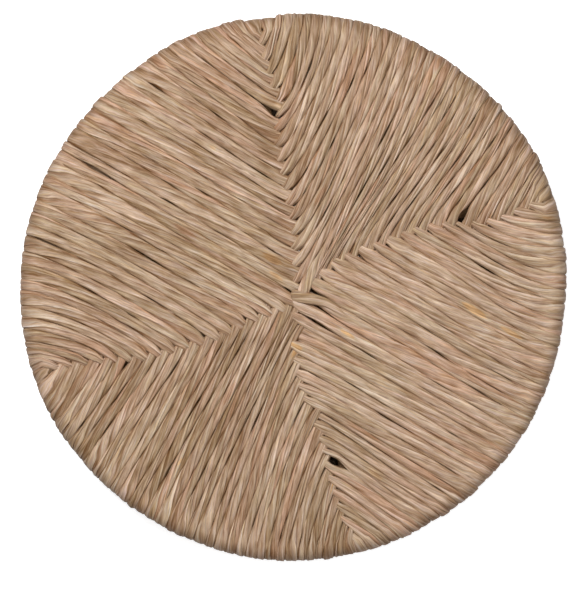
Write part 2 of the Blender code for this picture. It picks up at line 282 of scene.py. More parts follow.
class Hole:
    """A place where two neighbouring cords stand apart, so that the inside shows as a dark gap."""

    def __init__(self, edges, e, t, length, width):
        self.e = e
        p = edges[e].plan([t, min(t + 0.02, 1.0), max(t - 0.02, 0.0)])
        self.at = p[0]
        self.way = unit(p[1] - p[2])
        self.length, self.width = length, width
        cross = np.array([-self.way[1], self.way[0]])
        other = edges[e + 1].plan([min(t, 1.0)])[0]
        self.sense = 1.0 if (other - self.at) @ cross > 0 else -1.0  # which way the next cord lies

    def push(self, xy, side):
        """Moves points of a cord on this side of the line, 1 or -1, away from the gap."""
        q = xy - self.at
        cross = np.array([-self.way[1], self.way[0]])
        a = (q @ self.way) / self.length
        b = (q @ cross) / self.width
        g = np.exp(-a ** 2 - b ** 2 / 14.0)
        return xy + cross * (side * self.sense * (np.sqrt(b ** 2 + g) - np.abs(b)) * self.width)[..., None]


def nearest_edge(edges, at):
    """The edge, and how far along it, that passes nearest a point."""
    best = (1e9, 0, 0.5)
    ts = np.linspace(0.02, 1.0, 80)
    for e in range(1, CORDS):
        d = np.linalg.norm(edges[e].plan(ts) - at, axis=1)
        k = int(d.argmin())
        best = min(best, (float(d[k]), e, float(ts[k])))
    return best[1], best[2]


# Where gaps show: sector, x and y, half length and half width, in mm
GAPS = [
    ("northwest", -11.0, 112.5, 7.0, 2.6), ("northeast", 107.0, 47.5, 5.4, 2.3), ("southeast", 28.0, -113.5, 5.5, 2.6),
    ("southwest", -111.5, -48.0, 4.2, 1.4), ("southwest", -155.5, -58.5, 2.6, 1.1), ("northwest", -6.0, 27.5, 7.0, 0.7),
    ("southeast", 13.5, -25.0, 8.0, 1.1), ("northwest", -5.0, -3.0, 3.0, 0.8),
    ("northwest", -17.0, -12.5, 5.5, 0.8), ("northwest", -132.0, 75.5, 9.0, 0.95),
    ("northwest", -135.5, 94.0, 9.0, 0.95), ("northwest", -60.0, 154.5, 7.0, 0.95), ("northwest", -93.0, 129.5, 8.0, 0.95),
    ("northwest", -167.0, 31.0, 8.0, 0.95), ("northeast", 30.0, 74.0, 8.0, 0.75), ("northeast", 62.0, 100.0, 8.0, 0.75),
    ("southeast", 98.0, -46.0, 8.0, 0.8), ("southeast", 60.0, -84.0, 8.0, 0.75), ("southwest", -62.0, -76.0, 8.0, 0.75),
    ("southwest", -30.0, -60.0, 9.0, 0.75), ("southwest", -84.0, -120.0, 8.0, 0.75), ("northwest", -52.0, 66.0, 9.0, 0.75),
    ("northwest", -100.0, 20.0, 9.0, 0.75), ("southeast", 128.0, 6.0, 8.0, 0.75), ("northeast", 96.0, 92.0, 8.0, 0.75),
]


# Leaves dried golden (hue near 1) or russet (hue 0): x, y, half length and half width in mm, hue
DRIED = [
    (119.5, -12.5, 13.0, 2.2, 0.98), (142.0, -31.0, 12.0, 1.5, 0.97), (35.0, -30.5, 8.0, 1.3, 0.99), (1.0, -40.0, 8.0, 1.8, 0.99),
    (-13.5, 17.0, 9.0, 2.1, 0.96), (-12.0, 5.5, 8.0, 1.5, 0.96), (53.5, -123.0, 9.0, 2.0, 0.94), (-16.0, 121.0, 10.0, 1.4, 0.94),
    (167.0, 47.0, 6.0, 1.6, 0.95), (-74.0, -115.0, 4.0, 1.0, 0.96), (-52.0, 92.0, 3.5, 1.5, 0.96), (-45.0, 43.0, 12.0, 1.2, 0.93),
    (113.5, 99.0, 4.0, 1.0, 0.96), (96.5, 145.5, 8.0, 1.6, 0.0), (125.5, -111.5, 10.0, 2.4, 0.0), (-90.5, 145.5, 7.0, 1.6, 0.0),
    (-72.0, 34.0, 9.0, 1.6, 0.0), (18.0, 60.0, 8.0, 1.8, 0.0), (-40.0, -70.0, 9.0, 1.8, 0.0),
]


def dried(centre, s, across, outer, hues, tones):
    """A cord that passes one of these places takes its colour there. across: 0 on top of the cord, 1 at its sides."""
    for x, y, length, width, hue in DRIED:
        away = np.linalg.norm(centre[:, :2] - np.array([x, y]) * MM, axis=1) + (centre[:, 2] < SEAT_T / 2)
        k = int(away.argmin())
        if away[k] > 3.2 * MM:
            continue
        a = (s - s[k])[:, None] / (length * MM)
        share = smooth(2.2 - 1.8 * np.hypot(a, across * 2.85 / width)) * outer
        hues = hues + (hue - hues) * share
        tones = tones - (0.16 if hue < 0.5 else 0.01) * share
    return hues, tones


def gaps_for(sector, edges, r):
    found = []
    for where, x, y, length, width in GAPS:
        if where == sector:
            e, t = nearest_edge(edges, np.array([x, y]) * MM)
            found.append(Hole(edges, e, t, length * MM, width * MM))
    for e in range(1, CORDS):
        for _ in range(int(r.integers(0, 5))):
            if edges[e].run < 60 * MM:
                continue
            found.append(Hole(edges, e, float(r.uniform(0.05, 0.97)), r.uniform(3, 10) * MM, r.uniform(0.2, 0.55) * MM))
    return found


class Builder:
    """Collects strands into one mesh."""

    def __init__(self, lanes=6):
        self.co, self.quads, self.uv, self.bake, self.col, self.caps = [], [], [], [], [], []
        self.n, self.lanes, self.lane = 0, lanes, 0

    def strand(self, centre, normal, width, height, r, blades, turn, tone, step, s0=0.0,
               power=0.64, push=None, hue_mean=0.42, spread=1.0, rim_shade=0.0, shade_strength=1.0):
        """centre: points along the strand; normal: the way its outer face looks; width and
        height: half sizes at each point; blades: leaves in the cord; turn: length of one turn."""
        n = len(centre)
        tangent = unit(np.gradient(centre, axis=0))
        normal = unit(normal - tangent * (normal * tangent).sum(1, keepdims=True))
        side = np.cross(tangent, normal)
        s = np.concatenate([[0], np.cumsum(np.linalg.norm(np.diff(centre, axis=0), axis=1))])
        rate = 2 * np.pi / (turn * (1 + np.clip(wander(r, s, 45 * MM, 0.16), -0.5, 0.6)))
        spin = np.concatenate([[0], np.cumsum((rate[1:] + rate[:-1]) / 2 * np.diff(s))]) + r.uniform(0, 6.28)

        # Columns: each leaf runs from its overlapping edge (b = 0) to its tucked edge (b = 1).
        cuts = np.concatenate([[0], np.cumsum(r.uniform(0.6, 1.4, blades))])
        cuts = cuts / cuts[-1] * 2 * np.pi
        b = np.array([0.0, 0.05, 0.17, 0.33, 0.5, 0.67, 0.83, 0.94, 1.0])
        psi = np.concatenate([lo + (hi - lo - 0.04) * b for lo, hi in zip(cuts, cuts[1:])])
        leaf = np.repeat(np.arange(blades), len(b))
        bb = np.tile(b, blades)
        m = len(psi)
        rise = np.stack([1.0 + wander(r, s, 28 * MM, 0.45) for _ in range(blades)], 1)[:, leaf]
        rise = np.clip(rise, 0.1, 2.0)
        shape = (0.5 - bb) * 1.0 + 0.5 * (np.sin(np.pi * bb) - 0.6) - 0.22 * (bb == 0.0)
        factor = 1.0 + step * rise * shape[None]
        factor *= 1 + np.stack([wander(r, s, 22 * MM, 0.03) for _ in range(blades)], 1)[:, leaf]
        # each leaf is folded lengthwise into a few flat facets, and is finely ribbed
        folds = []
        fold_tone = []
        for _ in range(blades):
            knots = np.sort(np.concatenate([[0.0, 1.0], r.uniform(0.15, 0.85, 2)]))
            ups = np.stack([wander(r, s, 34 * MM, 1.0) for _ in range(4)], 1)
            shades = np.stack([wander(r, s, 40 * MM, 1.0) for _ in range(4)], 1)
            k = np.clip(np.searchsorted(knots, b, side="right") - 1, 0, 2)
            f = (b - knots[k]) / np.maximum(knots[k + 1] - knots[k], 1e-6)
            folds.append(ups[:, k] * (1 - f) + ups[:, k + 1] * f)
            fold_tone.append(shades[:, k])
        folds, fold_tone = np.concatenate(folds, 1), np.concatenate(fold_tone, 1)
        ribs = np.stack([wander(r, s, 26 * MM, 1.0) for _ in range(m)], 1)
        inside = (bb > 0.01) * (bb < 0.99)
        factor += (0.045 * folds + 0.010 * ribs) * inside
        phi = psi[None] - spin[:, None]
        phi = np.interp(np.mod(phi, 2 * np.pi), *SECTION)
        power = np.broadcast_to(power, (n,))[:, None]
        x = width[:, None] * spow(np.sin(phi), power) * factor
        z = height[:, None] * spow(np.cos(phi), power) * factor
        co = centre[:, None] + side[:, None] * x[..., None] + normal[:, None] * z[..., None]
        if push is not None:
            co = push(co)

        base = self.n
        idx = base + np.arange(n * m).reshape(n, m)
        a, d = idx[:-1], idx[1:]
        quads = np.stack([a, np.roll(a, -1, 1), np.roll(d, -1, 1), d], -1).reshape(-1, 4)
        u = psi * 3.2 + r.uniform(0, 400)
        v = (s + s0) * 1000 + r.uniform(0, 4000)
        u2 = np.append(u, u[0] + 2 * np.pi * 3.2)
        lane = (self.lane + 0.03 + 0.94 * np.append(psi, 2 * np.pi) / (2 * np.pi)) / self.lanes
        long = 0.005 + 0.99 * s / s[-1]
        for store, across, lengthwise in ((self.uv, u2, v), (self.bake, lane, long)):
            uv = np.empty((n - 1, m, 4, 2))
            uv[..., 0, 0], uv[..., 1, 0], uv[..., 2, 0], uv[..., 3, 0] = across[:-1], across[1:], across[1:], across[:-1]
            uv[..., 0, 1] = uv[..., 1, 1] = lengthwise[:-1, None]
            uv[..., 2, 1] = uv[..., 3, 1] = lengthwise[1:, None]
            store.append(uv.reshape(-1, 2))
        self.lane += 1

        tones = np.stack([wander(r, s, r.uniform(40, 95) * MM, 0.085 * spread) + r.normal(0, 0.065 * spread)
                          for _ in range(blades)], 1)[:, leaf] + 0.5 + tone
        # painted highlight and shade: each leaf is lighter at its raised overlapping edge and on raised ribs, and
        # darker toward the edge that tucks under the next leaf
        tones = tones + 0.03 * ribs + 0.085 * spread * fold_tone + 0.13 * rise * np.interp(bb, [0, 0.05, 0.2, 0.4, 1.0], [0.2, 1.0, 0.6, 0.0, -0.6])[None]
        tones = tones - np.broadcast_to(rim_shade, (n,))[:, None]
        hues = np.stack([wander(r, s, 120 * MM, 0.13) + r.normal(hue_mean, 0.15) for _ in range(blades)], 1)
        hues = np.clip(hues, 0.0, 0.86)
        hues = hues[:, leaf]
        if r.uniform() < 0.11:  # now and then a leaf has dried russet
            k, mid, long_ = int(r.integers(0, m - 6)), r.uniform(0, s[-1]), r.uniform(9, 24) * MM
            russet = smooth(1.6 - 1.3 * np.abs(s - mid) / long_)[:, None]
            hues[:, k:k + 6] *= 1.0 - russet
            tones[:, k:k + 6] -= 0.15 * russet
        if r.uniform() < 0.12:  # or one edge of it golden
            k, mid, long_ = int(r.integers(0, m - 4)), r.uniform(0, s[-1]), r.uniform(8, 22) * MM
            hues[:, k:k + 4] += (1.0 - hues[:, k:k + 4]) * smooth(1.8 - 1.4 * np.abs(s - mid) / long_)[:, None]
        hues, tones = dried(centre, s, np.abs(x) / width[:, None], z > 0, hues, tones)
        # painted shade: the leaf's edges darken where one leaf tucks under the next
        crease_shade = np.interp(bb, [0, 0.05, 0.50, 0.83, 0.94, 1.0], [0.45, 0.0, 0, 0.35, 0.75, 0.95])[None]
        crease_shade = crease_shade * np.clip(0.62 + np.stack([wander(r, s, 5 * MM, 0.62) for _ in range(blades)], 1)[:, leaf], 0.0, 1.3)
        # painted shade: the cord's sides darken toward their edges, standing in for the shade where neighbouring cords
        # meet
        side_shade = np.clip((np.abs(x) / (width[:, None] * factor) - 0.5) / 0.5, 0, 1)
        # the painted shade on each side of the cord changes in strength along it
        vary = 0.16 + 0.30 * spread
        patchy = np.where(x > 0, wander(r, s, 6 * MM, vary)[:, None], wander(r, s, 6 * MM, vary)[:, None])
        side_shade = side_shade * np.clip(0.95 + patchy, 0.10, 1.22) * shade_strength
        crease_shade = crease_shade * shade_strength
        self.co.append(co.reshape(-1, 3))
        self.quads.append(quads)
        # the leaf attribute holds tone, hue, and two painted shade masks: the leaves' creases and the cords' sides
        self.col.append(np.stack([tones, hues, np.clip(crease_shade, 0, 1.25), np.clip(side_shade, 0, 1.25)], -1).reshape(-1, 4))
        self.caps += [idx[0][::-1].tolist(), idx[-1].tolist()]
        self.n += n * m

    def mesh(self, name, mat):
        co = np.concatenate(self.co).astype(np.float32)
        quads = np.concatenate(self.quads).astype(np.int32)
        uv = np.concatenate(self.uv).astype(np.float32)
        col = np.concatenate(self.col).astype(np.float32)
        me = bpy.data.meshes.new(name)
        caps = self.caps
        loops = np.concatenate([quads.ravel()] + [np.array(c, np.int32) for c in caps])
        sizes = np.concatenate([np.full(len(quads), 4), [len(c) for c in caps]]).astype(np.int32)
        starts = np.concatenate([[0], np.cumsum(sizes)[:-1]]).astype(np.int32)
        me.vertices.add(len(co))
        me.vertices.foreach_set("co", co.ravel())
        me.loops.add(len(loops))
        me.loops.foreach_set("vertex_index", loops)
        me.polygons.add(len(sizes))
        me.polygons.foreach_set("loop_start", starts)
        me.update(calc_edges=True)
        layer = me.uv_layers.new(name="cord_mm")
        cap_uv = np.zeros((len(loops) - len(uv), 2), np.float32)
        layer.data.foreach_set("uv", np.concatenate([uv, cap_uv]).ravel())
        layer = me.uv_layers.new(name="OFBake")
        layer.data.foreach_set("uv", np.concatenate([np.concatenate(self.bake).astype(np.float32), cap_uv]).ravel())
        att = me.attributes.new("leaf", "FLOAT_COLOR", "POINT")
        att.data.foreach_set("color", col.ravel())
        me.polygons.foreach_set("use_smooth", np.ones(len(sizes), bool))
        me.set_sharp_from_angle(angle=math.radians(62))
        me.materials.append(mat)
        me.validate()
        me.update()
        obj = bpy.data.objects.new(name, me)
        bpy.context.scene.collection.objects.link(obj)
        return obj


# ------------------------------------------------------------------ materials
def nodes_for(name):
    mat = bpy.data.materials.new(name)
    mat.use_nodes = True
    tree = mat.node_tree
    bsdf = tree.nodes["Principled BSDF"]
    return mat, tree, bsdf


def node(tree, kind, **settings):
    n = tree.nodes.new(kind)
    for key, value in settings.items():
        if key in n.inputs.keys() if hasattr(n, "inputs") else False:
            n.inputs[key].default_value = value
        else:
            setattr(n, key, value)
    return n


def ramp(tree, fac, stops, mode="LINEAR"):
    n = tree.nodes.new("ShaderNodeValToRGB")
    n.color_ramp.interpolation = mode
    els = n.color_ramp.elements
    while len(els) < len(stops):
        els.new(0.5)
    for el, (at, rgb) in zip(els, stops):
        el.position = at
        el.color = (*rgb, 1.0)
    tree.links.new(fac, n.inputs["Fac"])
    return n.outputs["Color"]


def math_node(tree, op, a, b=None, clamp=False):
    n = tree.nodes.new("ShaderNodeMath")
    n.operation = op
    n.use_clamp = clamp
    for socket, value in zip(n.inputs, (a, b)):
        if value is None:
            continue
        if isinstance(value, (int, float)):
            socket.default_value = value
        else:
            tree.links.new(value, socket)
    return n.outputs[0]


def mix_rgb(tree, mode, fac, a, b):
    n = tree.nodes.new("ShaderNodeMix")
    n.data_type = "RGBA"
    n.blend_type = mode
    for socket, value in ((n.inputs[0], fac), (n.inputs[6], a), (n.inputs[7], b)):
        if isinstance(value, (int, float)):
            socket.default_value = value
        elif isinstance(value, tuple):
            socket.default_value = (*value, 1.0)
        else:
            tree.links.new(value, socket)
    return n.outputs[2]


def stretched_noise(tree, uv, across, lengthwise, detail=3.0, rough=0.6, offset=(0.0, 0.0, 0.0)):
    """Noise drawn out along the cord: features per millimetre across and along."""
    m = tree.nodes.new("ShaderNodeVectorMath")
    m.operation = "MULTIPLY_ADD"
    tree.links.new(uv, m.inputs[0])
    m.inputs[1].default_value = (across, lengthwise, 1.0)
    m.inputs[2].default_value = offset
    n = tree.nodes.new("ShaderNodeTexNoise")
    n.noise_dimensions = "2D"
    n.inputs["Scale"].default_value = 1.0
    n.inputs["Detail"].default_value = detail
    n.inputs["Roughness"].default_value = rough
    tree.links.new(m.outputs[0], n.inputs["Vector"])
    return n.outputs["Fac"]


def patchy(tree, scale, seed):
    """Slow change from place to place in the seat."""
    geo = tree.nodes.new("ShaderNodeTexCoord")
    m = tree.nodes.new("ShaderNodeVectorMath")
    m.operation = "MULTIPLY_ADD"
    tree.links.new(geo.outputs["Object"], m.inputs[0])
    m.inputs[1].default_value = (scale, scale, scale)
    m.inputs[2].default_value = (seed, seed * 1.7, seed * 0.6)
    n = tree.nodes.new("ShaderNodeTexNoise")
    n.inputs["Scale"].default_value = 1.0
    n.inputs["Detail"].default_value = 2.0
    tree.links.new(m.outputs[0], n.inputs["Vector"])
    return n.outputs["Fac"]


def rush_material(name, shade_factor=1.0):
    mat, tree, bsdf = nodes_for(name)
    link = tree.links.new
    uv = tree.nodes.new("ShaderNodeUVMap")
    uv.uv_map = "cord_mm"
    uv = uv.outputs["UV"]
    leaf = tree.nodes.new("ShaderNodeAttribute")
    leaf.attribute_name = "leaf"
    split = tree.nodes.new("ShaderNodeSeparateColor")
    link(leaf.outputs["Color"], split.inputs[0])
    # tone and hue are the leaf's own colour; the last two channels are painted shade masks for the creases and the
    # cords' sides
    tone, hue, crease_shade = split.outputs
    side_shade = leaf.outputs["Alpha"]

    sway = math_node(tree, "MULTIPLY_ADD", stretched_noise(tree, uv, 0.22, 0.10, 1.0, 0.5, (23.0, 57.0, 0.0)), 0.9)
    tree.nodes[-1].inputs[2].default_value = -0.45
    aside = tree.nodes.new("ShaderNodeCombineXYZ")
    link(sway, aside.inputs[0])
    moved = tree.nodes.new("ShaderNodeVectorMath")
    link(uv, moved.inputs[0])
    link(aside.outputs[0], moved.inputs[1])
    uv = moved.outputs[0]
    fibre = stretched_noise(tree, uv, 1.9, 0.07, 4.0, 0.65)
    streak = stretched_noise(tree, uv, 0.80, 0.055, 3.0, 0.55, (13.0, 47.0, 0.0))
    fine = stretched_noise(tree, uv, 7.0, 0.14, 2.0, 0.6, (37.0, 11.0, 0.0))
    blotch = stretched_noise(tree, uv, 0.34, 0.030, 3.0, 0.6, (5.0, 71.0, 0.0))
    pith = stretched_noise(tree, uv, 1.5, 0.085, 3.0, 0.55, (91.0, 3.0, 0.0))

    # tone: the leaf's own value, pushed about by fibres and blotches
    t = tone
    for amount, layer in ((0.95, fibre), (0.85, streak), (0.3, blotch), (0.3, fine), (0.30, patchy(tree, 40.0, 3.0))):
        push = math_node(tree, "MULTIPLY_ADD", layer, amount)
        tree.nodes[-1].inputs[2].default_value = -amount / 2
        t = math_node(tree, "ADD", t, push)
    t = math_node(tree, "MAXIMUM", t, 0.0)
    base = ramp(tree, t, [
        (0.0, (0.170, 0.087, 0.038)), (0.25, (0.300, 0.185, 0.107)), (0.5, (0.432, 0.293, 0.200)),
        (0.75, (0.568, 0.411, 0.304)), (1.0, (0.738, 0.572, 0.446))])
    warm = stretched_noise(tree, uv, 2.4, 0.08, 2.0, 0.55, (7.0, 29.0, 0.0))
    base = mix_rgb(tree, "MULTIPLY", 1.0, base, ramp(tree, warm, [
        (0.3, (0.95, 0.995, 1.11)), (0.5, (1.0, 1.0, 1.0)), (0.7, (1.035, 1.0, 0.86))]))
    mottle = math_node(tree, "MULTIPLY_ADD", stretched_noise(tree, uv, 1.3, 0.035, 3.0, 0.6, (61.0, 19.0, 0.0)), 1.5)
    tree.nodes[-1].inputs[2].default_value = -0.75
    drift = math_node(tree, "MULTIPLY_ADD", patchy(tree, 15.0, 9.0), 0.8)
    tree.nodes[-1].inputs[2].default_value = -0.36
    mottle = math_node(tree, "ADD", mottle, drift)
    mixed = math_node(tree, "MINIMUM", math_node(tree, "ADD", hue, mottle), math_node(tree, "MAXIMUM", hue, 0.9))
    # a golden or russet leaf keeps its own colour
    strong = math_node(tree, "MULTIPLY_ADD", math_node(tree, "ABSOLUTE", math_node(tree, "SUBTRACT", hue, 0.45)), 12.0, clamp=True)
    tree.nodes[-1].inputs[2].default_value = -4.95
    hue = math_node(tree, "ADD", mixed, math_node(tree, "MULTIPLY", math_node(tree, "SUBTRACT", hue, mixed), strong))
    tint = ramp(tree, hue, [
        (0.0, (1.07, 0.935, 0.87)), (0.08, (1.045, 0.955, 0.93)), (0.20, (1.03, 0.965, 0.95)), (0.36, (1.0, 1.0, 1.0)), (0.54, (1.0, 1.0, 0.98)),
        (0.72, (0.955, 1.01, 0.985)), (0.86, (0.95, 1.01, 0.965)), (0.93, (1.04, 1.0, 0.86)), (1.0, (1.18, 0.985, 0.62))])
    base = mix_rgb(tree, "MULTIPLY", 1.0, base, tint)
    # long thin dark lines where the dry leaf has folded
    fold = ramp(tree, pith, [(0.57, (0.0, 0.0, 0.0)), (0.66, (1.0, 1.0, 1.0))])
    base = mix_rgb(tree, "MIX", math_node(tree, "MULTIPLY", fold, 0.30), base, (0.17, 0.082, 0.036))
    # painted shade: the creases and the cords' sides are darkened and warmed to a saturated brown, as shade and bounce
    # light between cords look
    base = mix_rgb(tree, "MIX", math_node(tree, "MULTIPLY", crease_shade, 0.64), base, (0.135, 0.052, 0.014))
    base = mix_rgb(tree, "MULTIPLY", side_shade, base, (1.0, 0.935, 0.83))
    side = ramp(tree, side_shade, [(0.62, (0.0, 0.0, 0.0)), (0.84, (0.30, 0.30, 0.30)), (1.0, (1.0, 1.0, 1.0))])
    base = mix_rgb(tree, "MIX", math_node(tree, "MULTIPLY", side, 0.66), base, (0.125, 0.044, 0.008))
    # painted shade: beyond 171.5 mm from the centre the colour is tinted greyer, as the rolled rim looks in shadow
    place = tree.nodes.new("ShaderNodeTexCoord")
    flat = tree.nodes.new("ShaderNodeVectorMath")
    flat.operation = "MULTIPLY"
    link(place.outputs["Object"], flat.inputs[0])
    flat.inputs[1].default_value = (1.0, 1.0, 0.0)
    far = tree.nodes.new("ShaderNodeVectorMath")
    far.operation = "LENGTH"
    link(flat.outputs[0], far.inputs[0])
    rim_grey_shade = math_node(tree, "MULTIPLY_ADD", far.outputs["Value"], 120.0, clamp=True)
    tree.nodes[-1].inputs[2].default_value = -0.1715 * 120.0
    base = mix_rgb(tree, "MULTIPLY", rim_grey_shade, base, (0.97, 1.01, 1.12))
    # painted shade: the whole colour is multiplied down for cords that lie in shadow inside the seat
    if shade_factor != 1.0:
        base = mix_rgb(tree, "MULTIPLY", 1.0, base, (shade_factor, shade_factor, shade_factor))
    link(base, bsdf.inputs["Base Color"])

    rough = math_node(tree, "MULTIPLY_ADD", fibre, 0.35)
    tree.nodes[-1].inputs[2].default_value = 0.40
    link(rough, bsdf.inputs["Roughness"])
    bsdf.inputs["Specular IOR Level"].default_value = 0.14
    height = math_node(tree, "ADD", math_node(tree, "MULTIPLY", fibre, 1.0), math_node(tree, "MULTIPLY", fine, 0.5))
    bump = tree.nodes.new("ShaderNodeBump")
    bump.inputs["Strength"].default_value = 0.8
    bump.inputs["Distance"].default_value = 0.32 * MM
    link(height, bump.inputs["Height"])
    link(bump.outputs["Normal"], bsdf.inputs["Normal"])
    return mat


def wood_material(name, light, dark_rgb):
    mat, tree, bsdf = nodes_for(name)
    link = tree.links.new
    geo = tree.nodes.new("ShaderNodeTexCoord")
    m = tree.nodes.new("ShaderNodeVectorMath")
    m.operation = "MULTIPLY"
    link(geo.outputs["Object"], m.inputs[0])
    m.inputs[1].default_value = (60.0, 60.0, 420.0)
    n = tree.nodes.new("ShaderNodeTexNoise")
    n.inputs["Scale"].default_value = 1.0
    n.inputs["Detail"].default_value = 5.0
    n.inputs["Distortion"].default_value = 0.6
    link(m.outputs[0], n.inputs["Vector"])
    base = ramp(tree, n.outputs["Fac"], [(0.3, dark_rgb), (0.7, light)])
    link(base, bsdf.inputs["Base Color"])
    rough = math_node(tree, "MULTIPLY_ADD", n.outputs["Fac"], 0.25)
    tree.nodes[-1].inputs[2].default_value = 0.42
    link(rough, bsdf.inputs["Roughness"])
    bump = tree.nodes.new("ShaderNodeBump")
    bump.inputs["Strength"].default_value = 0.3
    bump.inputs["Distance"].default_value = 0.2 * MM
    link(n.outputs["Fac"], bump.inputs["Height"])
    link(bump.outputs["Normal"], bsdf.inputs["Normal"])
    return mat


def stuffing_material(name):
    """Dry leaf ends packed loosely: streaked browns."""
    mat, tree, bsdf = nodes_for(name)
    link = tree.links.new
    geo = tree.nodes.new("ShaderNodeTexCoord")
    m = tree.nodes.new("ShaderNodeMapping")
    link(geo.outputs["Object"], m.inputs["Vector"])
    m.inputs["Rotation"].default_value = (0.0, 0.0, 0.7)
    m.inputs["Scale"].default_value = (90.0, 900.0, 500.0)
    n = tree.nodes.new("ShaderNodeTexNoise")
    n.inputs["Scale"].default_value = 1.0
    n.inputs["Detail"].default_value = 5.0
    n.inputs["Distortion"].default_value = 1.2
    link(m.outputs["Vector"], n.inputs["Vector"])
    # streaked browns kept dark: partly the stuffing's own colour, partly painted shade so the gaps between cords read
    # dark
    base = ramp(tree, n.outputs["Fac"], [(0.25, (0.08, 0.037, 0.012)), (0.5, (0.19, 0.100, 0.040)), (0.75, (0.33, 0.200, 0.092))])
    link(base, bsdf.inputs["Base Color"])
    bsdf.inputs["Roughness"].default_value = 0.85
    bump = tree.nodes.new("ShaderNodeBump")
    bump.inputs["Strength"].default_value = 0.9
    bump.inputs["Distance"].default_value = 0.8 * MM
    link(n.outputs["Fac"], bump.inputs["Height"])
    link(bump.outputs["Normal"], bsdf.inputs["Normal"])
    return mat


def steel_material(name):
    mat, tree, bsdf = nodes_for(name)
    link = tree.links.new
    geo = tree.nodes.new("ShaderNodeTexCoord")
    n = tree.nodes.new("ShaderNodeTexNoise")
    n.inputs["Scale"].default_value = 900.0
    n.inputs["Detail"].default_value = 4.0
    link(geo.outputs["Object"], n.inputs["Vector"])
    base = ramp(tree, n.outputs["Fac"], [(0.3, (0.30, 0.29, 0.27)), (0.7, (0.52, 0.51, 0.49))])
    link(base, bsdf.inputs["Base Color"])
    rough = math_node(tree, "MULTIPLY_ADD", n.outputs["Fac"], 0.3)
    tree.nodes[-1].inputs[2].default_value = 0.25
    link(rough, bsdf.inputs["Roughness"])
    bsdf.inputs["Metallic"].default_value = 1.0
    bump = tree.nodes.new("ShaderNodeBump")
    bump.inputs["Strength"].default_value = 0.3
    bump.inputs["Distance"].default_value = 0.05 * MM
    link(n.outputs["Fac"], bump.inputs["Height"])
    link(bump.outputs["Normal"], bsdf.inputs["Normal"])
    return mat


RUSH = rush_material("rush_cord")
# the rush darkened to 0.8: painted shade for the cords inside the seat
SHADED_INNER = rush_material("shaded_inner_rush_cord", 0.8)
STUFFING = stuffing_material("dry_leaf_stuffing")
BEECH = wood_material("beech_wood", (0.62, 0.43, 0.26), (0.50, 0.32, 0.18))
DOWEL = wood_material("dowel_birch", (0.72, 0.56, 0.37), (0.60, 0.43, 0.26))
STEEL = steel_material("tack_steel")

# ------------------------------------------------------------------ the cords
WRAP_LEN = 2 * (ROLL_R - H) * math.pi / 2 + SEAT_T - 2 * ROLL_R


def cord_end(centre, normal, w, h, drop_r):
    """Turns the last stretch of a cord down and out of sight. centre[0] is the seam end."""
    d = centre[0] - centre[1]
    d[2] = 0
    d = unit(d)
    add_c, add_n, add_w, add_h = [], [], [], []
    for deg in (84, 70, 56, 42, 28, 14):
        a = math.radians(deg)
        add_c.append(centre[0] + d * drop_r * math.sin(a) - np.array([0, 0, drop_r * (1 - math.cos(a))]))
        add_n.append(np.array([d[0] * math.sin(a), d[1] * math.sin(a), math.cos(a)]))
        shrink = 1 - 0.30 * (deg / 90) ** 2
        add_w.append(w[0] * shrink)
        add_h.append(h[0] * (1 - 0.1 * deg / 90))
    low = add_c[0] - np.array([0, 0, 2.2 * MM])
    return (np.vstack([low[None], add_c, centre]), np.vstack([add_n[0][None], add_n, normal]),
            np.concatenate([[add_w[0] * 0.85], add_w, w]), np.concatenate([[add_h[0] * 0.85], add_h, h]))


def flip_z(c):
    out = c.copy()
    out[:, 2] = SEAT_T - out[:, 2]
    return out


FLIPPED = np.random.default_rng(71).uniform(size=HALF) < 0.3  # places where the south seam laps the other way
FLIPPED[4:8] = False
EDGES = {}


